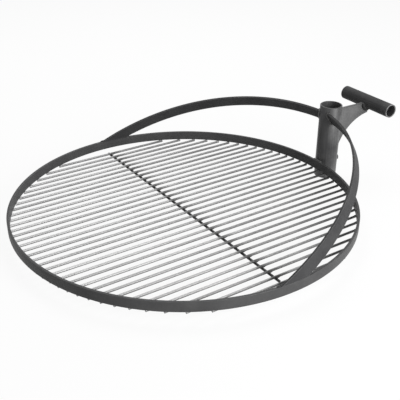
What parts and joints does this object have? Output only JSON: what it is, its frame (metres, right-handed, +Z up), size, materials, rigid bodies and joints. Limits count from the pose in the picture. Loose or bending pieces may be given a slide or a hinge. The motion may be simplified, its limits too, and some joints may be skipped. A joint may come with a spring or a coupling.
{
  "type": "swivel grill grate",
  "caption": "Round grill grate of parallel rods in a flat-bar hoop, braced by two bent bars to an upright sleeve that slides over a mast, with a T-handle to swing it.",
  "frame": {"origin": "middle of the sleeve's lower end, on the bore's axis", "axes": "+Z up the sleeve's bore, +X from the grate's centre through the sleeve to the handle, +Y along the handle tube to the left brace's side"},
  "size_m": [0.8482, 0.7006, 0.17],
  "materials": {
    "frame_steel": "satin dark coating",
    "rod_steel": "satin dark coating, lighter on top",
    "clamp_steel": "satin dark coating"
  },
  "bodies": {
    "grate": {"outer_ring": "frame_steel", "grate_rod_01": "rod_steel", "grate_rod_02": "rod_steel", "grate_rod_03": "rod_steel", "grate_rod_04": "rod_steel", "grate_rod_05": "rod_steel", "grate_rod_06": "rod_steel", "grate_rod_07": "rod_steel", "grate_rod_08": "rod_steel", "grate_rod_09": "rod_steel", "grate_rod_10": "rod_steel", "grate_rod_11": "rod_steel", "grate_rod_12": "rod_steel", "grate_rod_13": "rod_steel", "grate_rod_14": "rod_steel", "grate_rod_15": "rod_steel", "grate_rod_16": "rod_steel", "grate_rod_17": "rod_steel", "grate_rod_18": "rod_steel", "grate_rod_19": "rod_steel", "grate_rod_20": "rod_steel", "grate_rod_21": "rod_steel", "grate_rod_22": "rod_steel", "grate_rod_23": "rod_steel", "grate_rod_24": "rod_steel", "grate_rod_25": "rod_steel", "grate_rod_26": "rod_steel", "grate_rod_27": "rod_steel", "grate_rod_28": "rod_steel", "grate_rod_29": "rod_steel", "grate_rod_30": "rod_steel", "grate_rod_31": "rod_steel", "grate_rod_32": "rod_steel", "grate_rod_33": "rod_steel", "cross_rod": "rod_steel", "brace_left": "frame_steel", "brace_right": "frame_steel", "pivot_sleeve": "frame_steel", "handle_gusset": "frame_steel", "handle_tube": "frame_steel", "clamp_nut": "clamp_steel"},
    "clamp_screw": {"clamp_screw": "clamp_steel"}
  },
  "joints": [
    {"name": "clamp_screw_travel", "type": "slide", "parent": "grate", "child": "clamp_screw", "axis": [1, 0, 0], "range_m": [-0.003, 0.004]}
  ]
}
